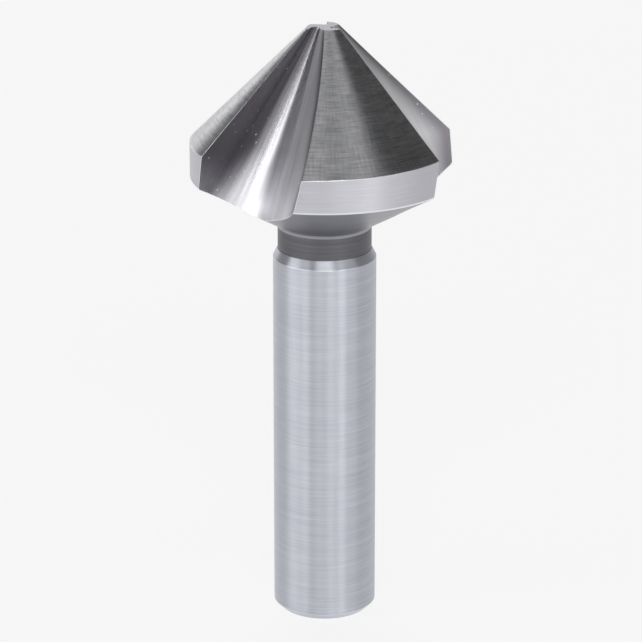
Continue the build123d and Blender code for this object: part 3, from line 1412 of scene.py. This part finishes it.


# All are bare high-speed steel, so they share one metal and differ in how it was last cut, and the flutes and
# edges also in painted light and shade. Real wheel and feed marks are some hundredths of a millimetre apart,
# finer than a pixel of the front view (about 0.12 mm), so each line and cross pitch is drawn coarser than it
# is, at 0.1 to 0.3 mm.
FINISHES = {
    # Cylindrical-ground: very straight lines round the tool pull each lamp into an upright satin band.
    Finish.SHANK: SteelFinish(
        "cylindrical_ground_steel", "#BCBFC8", "#D0D2DA", 0.42, 0.85, 0.16, 8.0, 0.001, sway=0.01
    ),
    # Turned: a matt, dark grey ring with faint feed marks.
    Finish.NECK: SteelFinish("turned_steel_neck", "#626266", "#707074", 0.45, 0.3, 0.2, 20.0, 0.004),
    # Turned with the same feed but cleaned: lighter than the neck, and as soft.
    Finish.BACK: SteelFinish("turned_steel_back", "#909095", "#A4A4A8", 0.40, 0.3, 0.2, 20.0, 0.004),
    # Cylindrical-ground with the shank's wheel: a pale, smooth, even band round the head.
    Finish.MARGIN: SteelFinish("ground_steel_margin", "#BEBEC4", "#CCCCD2", 0.42, 0.6, 0.14, 6.0, 0.001),
    # Relief-ground, and crossed by the wheel's own dressing marks: a fine weave of short scratches.
    Finish.LAND: SteelFinish(
        "relief_ground_steel", "#A0A1A5", "#D3D3D6", 0.29, 0.3, 0.17, 2.2, 0.0,
        cross_pitch=0.22, contrast=0.26,
    ),
    # Ground lengthwise: painted shade, a dark colour, on the rake face, and a bright colour in the gullet
    # that is painted light, strongest towards the back, where it is also coarser. The specks are painted
    # glints of grains and burrs.
    Finish.FLUTE: SteelFinish(
        "flute_ground_steel", "#CCCCD1", "#E8E8EC", 0.27, 0.5, 0.3, 14.0, 0.006,
        side="#504D51", painted_shade_fade=(0.05, 0.5), rim_roughness=0.28,
    ),
    # The same wheel run flatter, with painted light: a bright colour at the ridge that fades to painted shade
    # at the heel.
    Finish.STRIP: SteelFinish(
        "flute_ground_steel_strip", "#E2E2E6", "#F2F2F4", 0.46, 0.3, 0.3, 14.0, 0.006,
        side="#858287", painted_shade_fade=(0.1, 0.8),
    ),
    # Faced flat: small, pale and plain.
    Finish.NOSE: SteelFinish("ground_steel_nose", "#BEBEC3", "#D2D2D7", 0.38, 0.2, 0.1, 2.0, 0.002),
}


# ---------------------------------------------------------------- studio


@dataclass(frozen=True)
class SoftBox:
    """One soft studio lamp, hung round the tool and facing its head.

    Azimuth 0 is in front, on the camera's side, and 90 to the right. Angles are in degrees, lengths in
    metres.
    """

    name: str
    azimuth: float
    elevation: float
    distance: float
    size: tuple[float, float]
    radiance: float
    aim: tuple[float, float, float] = (0.0, 0.0, 0.06)

    def build(self) -> None:
        """Hangs the lamp; its power comes from the radiance of its face."""
        width, height = self.size
        light = bpy.data.lights.new(self.name, "AREA")
        light.shape = "RECTANGLE"
        light.size, light.size_y = width, height
        light.energy = self.radiance * width * height * math.pi
        azimuth, elevation = math.radians(self.azimuth), math.radians(self.elevation)
        flat = math.cos(elevation)
        toward = Vector((math.sin(azimuth) * flat, -math.cos(azimuth) * flat, math.sin(elevation)))
        lamp = bpy.data.objects.new(self.name, light)
        lamp.location = Vector(self.aim) + toward * self.distance
        lamp.rotation_euler = (-toward).to_track_quat("-Z", "Y").to_euler()
        lamp.visible_camera = False
        bpy.context.scene.collection.objects.link(lamp)


@dataclass
class Studio:
    """Floor, soft lamps, world and camera, in metres and degrees."""

    floor_colour: str = "#F8F8F8"
    floor_size: float = 20.0
    floor_white: float = 0.84  # share of plain white that the camera and the reflections see of it
    ring_level: float = 0.2  # the world's strength low down, at the sides and behind
    front_level: float = 0.0  # and in front
    front_fade: tuple[float, float] = (-0.8, -0.4)  # how far back that gives way, in a direction's y
    overhead_level: float = 0.05  # the world's strength overhead
    overhead_fade: tuple[float, float] = (0.2, 0.6)  # how high up that takes over, in a direction's z
    camera_place: tuple[float, float, float] = (-0.000423, -0.392647, 0.172674)
    camera_tilt: float = 70.754
    lens: float = 199.86

    def build(self) -> None:
        """Makes the studio."""
        self.floor()
        self.world()
        for lamp in LAMPS:
            lamp.build()
        self.camera()

    def floor(self) -> None:
        """A plain pale floor that the tool stands on."""
        half = self.floor_size / 2
        mesh = bpy.data.meshes.new("floor")
        corners = [(-half, -half, 0), (half, -half, 0), (half, half, 0), (-half, half, 0)]
        mesh.from_pydata(corners, [], [(0, 1, 2, 3)])
        material = bpy.data.materials.new("plain_pale_floor")
        material.use_nodes = True
        tree = material.node_tree
        tree.nodes.clear()
        diffuse = node(tree, "ShaderNodeBsdfDiffuse", {"Color": linear(self.floor_colour)})
        white = node(tree, "ShaderNodeEmission", {"Strength": 1.0})
        ray = node(tree, "ShaderNodeLightPath")
        seen = ray.outputs["Is Camera Ray"]
        for kind in ("Is Glossy Ray", "Is Transmission Ray"):
            seen = node(tree, "ShaderNodeMath", {"operation": "MAXIMUM"}, {0: ray.outputs[kind], 1: seen})
        share = node(tree, "ShaderNodeMath", {"operation": "MULTIPLY", 1: self.floor_white}, {0: seen})
        mixed = node(tree, "ShaderNodeMixShader", links={0: share, 1: diffuse, 2: white})
        node(tree, "ShaderNodeOutputMaterial", links={"Surface": mixed})
        mesh.materials.append(material)
        floor = bpy.data.objects.new("floor", mesh)
        bpy.context.scene.collection.objects.link(floor)

    def world(self) -> None:
        """A soft world: dim low down at the sides and behind, and dimmer still overhead."""
        world = bpy.data.worlds.new("studio")
        bpy.context.scene.world = world
        world.use_nodes = True
        tree = world.node_tree
        tree.nodes.clear()
        place = node(tree, "ShaderNodeTexCoord")
        way = node(tree, "ShaderNodeSeparateXYZ", links={0: place.outputs["Generated"]})
        fade = ramp(self.front_fade, (self.front_level, self.ring_level), smooth=True)
        ring = node(tree, "ShaderNodeMapRange", fade, {"Value": way.outputs["Y"]})
        fade = ramp(self.overhead_fade, smooth=True)
        height = node(tree, "ShaderNodeMapRange", fade, {"Value": way.outputs["Z"]})
        settings = {"data_type": "FLOAT", "B": self.overhead_level}
        level = node(tree, "ShaderNodeMix", settings, {"Factor": height, "A": ring})
        background = node(tree, "ShaderNodeBackground", {"Color": linear(WHITE)}, {"Strength": level})
        node(tree, "ShaderNodeOutputWorld", links={"Surface": background})

    def camera(self) -> None:
        """The camera, with a long lens."""
        data = bpy.data.cameras.new("camera")
        data.sensor_width = 36.0
        data.lens = self.lens
        camera = bpy.data.objects.new("camera", data)
        camera.location = self.camera_place
        camera.rotation_euler = (math.radians(self.camera_tilt), 0.0, 0.0)
        bpy.context.scene.collection.objects.link(camera)
        bpy.context.scene.camera = camera
        bpy.context.scene.view_settings.view_transform = "Standard"


# Name, azimuth, elevation, distance, width and height of the face, and radiance.
LAMPS = (
    SoftBox("left_side_lamp", -72.0, 13.0, 0.8, (0.45, 0.25), 3.5),
    SoftBox("left_lamp", -42.0, 8.0, 0.8, (0.25, 0.2), 4.5),
    SoftBox("left_front_lamp", -15.0, 6.0, 0.8, (0.25, 0.16), 2.0),
    SoftBox("right_front_lamp", 15.0, 5.0, 0.8, (0.25, 0.14), 4.0),
    SoftBox("right_lamp", 38.0, 6.0, 0.8, (0.26, 0.18), 5.5),
    SoftBox("right_side_lamp", 63.0, 9.0, 0.8, (0.3, 0.2), 2.0),
    SoftBox("rear_left_lamp", -150.0, 8.0, 0.8, (0.5, 0.2), 1.0),
    SoftBox("front_lamp", 0.0, 34.0, 1.0, (0.6, 0.2), 5.5),
    SoftBox("rear_lamp", 180.0, 52.0, 1.2, (1.4, 0.7), 1.5),
    SoftBox("low_rear_lamp", 178.0, 19.0, 0.8, (0.6, 0.24), 0.75),
    SoftBox("top_lamp", 3.0, 72.0, 1.0, (0.4, 0.3), 0.5),
    SoftBox("top_right_lamp", 56.0, 66.0, 1.0, (0.28, 0.3), 0.75),
    SoftBox("top_left_lamp", -50.0, 70.0, 1.0, (0.35, 0.35), 0.5),
)


def main() -> None:
    """Builds the tool and the studio, in order."""
    logging.basicConfig(level=logging.INFO, format="%(name)s: %(message)s")
    form = ToolForm()
    mesh = ToolMesh()
    neck_ring = Shank(form).build(mesh)
    log.info("shank and neck: %d points", len(mesh.points))
    Head(form).build(mesh, neck_ring)
    log.info("head: %d points, %d faces", len(mesh.points), len(mesh.faces))
    piece = mesh.build("ground_countersink", [FINISHES[finish].material() for finish in Finish])
    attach(piece, "root")
    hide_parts(NODE)
    log.info("piece: %s", piece.name)
    Studio().build()


if __name__ == "__main__":
    main()
